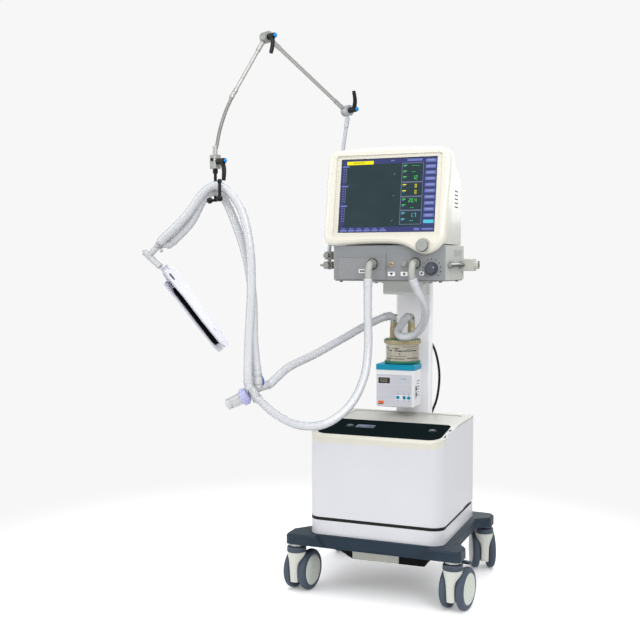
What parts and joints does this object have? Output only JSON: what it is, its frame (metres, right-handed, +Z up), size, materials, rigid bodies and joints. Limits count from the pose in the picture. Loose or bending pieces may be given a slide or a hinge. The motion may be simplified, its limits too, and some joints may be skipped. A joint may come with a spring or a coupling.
{
  "type": "mechanical ventilator",
  "caption": "Mobile intensive-care ventilator: tilted touch screen head on a column, gas cabinet, humidifier, jointed hose arm, breathing hoses and a test lung on a caster base.",
  "frame": {"origin": "floor point below the middle of the overall envelope, casters standing on z = 0", "axes": "+Z up, -Y towards the operator facing the screen, +X to the operator's right"},
  "size_m": [0.9492, 0.7707, 1.6931],
  "materials": {
    "slate_enamel": "satin powder coat",
    "white_enamel": "satin enamel, faint cool tint",
    "grey_enamel": "matt enamel",
    "light_grey_enamel": "satin enamel",
    "ivory_plastic": "semi-gloss moulding",
    "black_plastic": "matt",
    "black_gloss": "gloss",
    "caster_plastic": "matt",
    "caster_tread": "matt",
    "slate_plastic": "matt",
    "steel": "brushed",
    "chrome": "polished",
    "screen": "gloss",
    "knob_grey": "satin",
    "white_plastic": "semi-gloss",
    "teal_plastic": "satin",
    "amber_clear": "clear",
    "hose": "translucent",
    "clear_plastic": "clear",
    "bag_black": "matt",
    "cable_black": "matt",
    "aluminium": "cast",
    "board": "matt"
  },
  "bodies": {
    "trolley": {"base_frame": "slate_enamel", "under_tray": "black_plastic", "caster_stems": "steel", "cabinet_skirt": "white_enamel", "cabinet_groove_band": "black_plastic", "cabinet_shell": "white_enamel", "cabinet_top_cover": "ivory_plastic", "cabinet_control_panel": "black_gloss", "cabinet_rear_panel": "light_grey_enamel", "compressor_unit": "aluminium", "column": "white_enamel", "head_bracket": "light_grey_enamel", "power_cable": "cable_black", "head_front_bezel": "ivory_plastic", "touchscreen_panel": "screen", "head_rear_cover": "ivory_plastic", "chassis": "grey_enamel", "expiratory_cover": "grey_enamel", "gas_ports": "caster_plastic", "oxygen_sensor": "steel", "gas_module": "board", "humidifier_base": "white_plastic", "humidifier_top_band": "teal_plastic", "humidifier_chamber": "amber_clear", "arm_clamp": "chrome", "hose_expiratory": "hose", "hose_humid_feed": "hose", "hose_inspiratory": "hose", "water_traps": "clear_plastic", "fasteners": "steel"},
    "caster_fl_swivel": {"caster_fl_housing": "caster_plastic"},
    "caster_fl_wheel": {"caster_fl_wheels": "caster_tread"},
    "caster_fl_brake": {"caster_fl_brake_pedal": "slate_plastic"},
    "caster_fr_swivel": {"caster_fr_housing": "caster_plastic"},
    "caster_fr_wheel": {"caster_fr_wheels": "caster_tread"},
    "caster_fr_brake": {"caster_fr_brake_pedal": "slate_plastic"},
    "caster_rl_swivel": {"caster_rl_housing": "caster_plastic"},
    "caster_rl_wheel": {"caster_rl_wheels": "caster_tread"},
    "caster_rr_swivel": {"caster_rr_housing": "caster_plastic"},
    "caster_rr_wheel": {"caster_rr_wheels": "caster_tread"},
    "cabinet_key_left": {"cabinet_button_left": "black_plastic"},
    "cabinet_key_right": {"cabinet_button_right": "black_plastic"},
    "fan": {"cabinet_fan_rotor": "black_plastic"},
    "encoder": {"encoder_knob": "ivory_plastic"},
    "flow_dial": {"flow_knob": "knob_grey"},
    "humidifier_key_1": {"humidifier_button_1": "teal_plastic"},
    "humidifier_key_2": {"humidifier_button_2": "teal_plastic"},
    "humidifier_key_3": {"humidifier_button_3": "teal_plastic"},
    "post": {"arm_post": "chrome"},
    "upper": {"upper_arm": "chrome"},
    "lower": {"lower_arm": "chrome"},
    "shoulder_lock": {"shoulder_lever": "black_plastic"},
    "elbow_lock": {"elbow_lever": "black_plastic"},
    "hanger_lock": {"hanger_lever": "black_plastic"},
    "hanger": {"hose_hanger": "black_plastic", "hose_patient_limbs": "hose", "y_piece": "clear_plastic", "lung_front_plate": "white_plastic", "lung_bag": "bag_black"},
    "lung_flap": {"lung_back_plate": "white_plastic"}
  },
  "joints": [
    {"name": "caster_fl_swivel_turn", "type": "hinge", "parent": "trolley", "child": "caster_fl_swivel", "pos_m": [-0.059, -0.139, 0.12], "axis": [0, 0, 1], "continuous": true},
    {"name": "caster_fl_wheel_roll", "type": "hinge", "parent": "caster_fl_swivel", "child": "caster_fl_wheel", "pos_m": [-0.05496, -0.10121, 0.0625], "axis": [0.9943, -0.1063, 0], "continuous": true},
    {"name": "caster_fl_brake_press", "type": "hinge", "parent": "caster_fl_swivel", "child": "caster_fl_brake", "pos_m": [-0.05645, -0.11514, 0.134], "axis": [0.9943, -0.1063, 0], "range_deg": [-6, 2], "stiffness_Nm_per_rad": 0.5},
    {"name": "caster_fr_swivel_turn", "type": "hinge", "parent": "trolley", "child": "caster_fr_swivel", "pos_m": [0.429, -0.139, 0.12], "axis": [0, 0, 1], "continuous": true},
    {"name": "caster_fr_wheel_roll", "type": "hinge", "parent": "caster_fr_swivel", "child": "caster_fr_wheel", "pos_m": [0.43396, -0.10132, 0.0625], "axis": [0.9914, -0.1305, 0], "continuous": true},
    {"name": "caster_fr_brake_press", "type": "hinge", "parent": "caster_fr_swivel", "child": "caster_fr_brake", "pos_m": [0.43213, -0.11521, 0.134], "axis": [0.9914, -0.1305, 0], "range_deg": [-6, 2], "stiffness_Nm_per_rad": 0.5},
    {"name": "caster_rl_swivel_turn", "type": "hinge", "parent": "trolley", "child": "caster_rl_swivel", "pos_m": [-0.059, 0.279, 0.12], "axis": [0, 0, 1], "continuous": true},
    {"name": "caster_rl_wheel_roll", "type": "hinge", "parent": "caster_rl_swivel", "child": "caster_rl_wheel", "pos_m": [-0.06677, 0.3162, 0.0625], "axis": [0.9789, 0.2045, 0], "continuous": true},
    {"name": "caster_rr_swivel_turn", "type": "hinge", "parent": "trolley", "child": "caster_rr_swivel", "pos_m": [0.429, 0.279, 0.12], "axis": [0, 0, 1], "continuous": true},
    {"name": "caster_rr_wheel_roll", "type": "hinge", "parent": "caster_rr_swivel", "child": "caster_rr_wheel", "pos_m": [0.41489, 0.31428, 0.0625], "axis": [0.9285, 0.3714, 0], "continuous": true},
    {"name": "cabinet_key_left_press", "type": "slide", "parent": "trolley", "child": "cabinet_key_left", "axis": [0, 0.1253, -0.9921], "range_m": [0, 0.0012], "stiffness_N_per_m": 200},
    {"name": "cabinet_key_right_press", "type": "slide", "parent": "trolley", "child": "cabinet_key_right", "axis": [0, 0.1253, -0.9921], "range_m": [0, 0.0012], "stiffness_N_per_m": 200},
    {"name": "fan_spin", "type": "hinge", "parent": "trolley", "child": "fan", "pos_m": [0.293, 0.257, 0.365], "axis": [0, 1, 0], "continuous": true},
    {"name": "encoder_turn", "type": "hinge", "parent": "trolley", "child": "encoder", "pos_m": [0.306, -0.04004, 1.05468], "axis": [0, -0.9877, 0.1564], "continuous": true},
    {"name": "flow_dial_turn", "type": "hinge", "parent": "trolley", "child": "flow_dial", "pos_m": [0.328, -0.023, 0.988], "axis": [0, -1, 0], "range_deg": [-135, 135]},
    {"name": "humidifier_key_1_press", "type": "slide", "parent": "trolley", "child": "humidifier_key_1", "axis": [0, 1, 0], "range_m": [0, 0.0008], "stiffness_N_per_m": 200},
    {"name": "humidifier_key_2_press", "type": "slide", "parent": "trolley", "child": "humidifier_key_2", "axis": [0, 1, 0], "range_m": [0, 0.0008], "stiffness_N_per_m": 200},
    {"name": "humidifier_key_3_press", "type": "slide", "parent": "trolley", "child": "humidifier_key_3", "axis": [0, 1, 0], "range_m": [0, 0.0008], "stiffness_N_per_m": 200},
    {"name": "arm_swing", "type": "hinge", "parent": "trolley", "child": "post", "pos_m": [-0.048, 0.107, 1.014], "axis": [0, 0, 1], "range_deg": [-60, 20], "deforming": ["hose_patient_limbs"]},
    {"name": "shoulder_tilt", "type": "hinge", "parent": "post", "child": "upper", "pos_m": [0.0125, 0.107, 1.4893], "axis": [0.882, -0.4712, 0], "range_deg": [-15, 15], "stiffness_Nm_per_rad": 60, "deforming": ["hose_patient_limbs"]},
    {"name": "elbow_tilt", "type": "hinge", "parent": "upper", "child": "lower", "pos_m": [-0.1454, -0.1605, 1.6761], "axis": [0.882, -0.4712, 0], "range_deg": [-18, 15], "stiffness_Nm_per_rad": 40, "deforming": ["hose_patient_limbs"]},
    {"name": "hanger_turn", "type": "hinge", "parent": "lower", "child": "hanger", "pos_m": [-0.2405, -0.3105, 1.285], "axis": [0, 0, 1], "range_deg": [-30, 30], "stiffness_Nm_per_rad": 1, "deforming": ["hose_patient_limbs"]},
    {"name": "shoulder_lock_turn", "type": "hinge", "parent": "post", "child": "shoulder_lock", "pos_m": [0.02397, 0.10087, 1.4893], "axis": [0.882, -0.4712, 0], "range_deg": [-70, 70], "stiffness_Nm_per_rad": 0.2},
    {"name": "elbow_lock_turn", "type": "hinge", "parent": "upper", "child": "elbow_lock", "pos_m": [-0.13393, -0.16663, 1.6761], "axis": [0.882, -0.4712, 0], "range_deg": [-70, 70], "stiffness_Nm_per_rad": 0.2},
    {"name": "hanger_lock_turn", "type": "hinge", "parent": "lower", "child": "hanger_lock", "pos_m": [-0.22815, -0.3171, 1.2971], "axis": [0.882, -0.4712, 0], "range_deg": [-50, 50], "stiffness_Nm_per_rad": 0.2},
    {"name": "lung_flap_open", "type": "hinge", "parent": "hanger", "child": "lung_flap", "pos_m": [-0.38474, -0.32206, 0.94548], "axis": [-0.1684, 0.9742, 0.1501], "range_deg": [0, 6], "stiffness_Nm_per_rad": 0.3, "deforming": ["lung_bag"]}
  ]
}
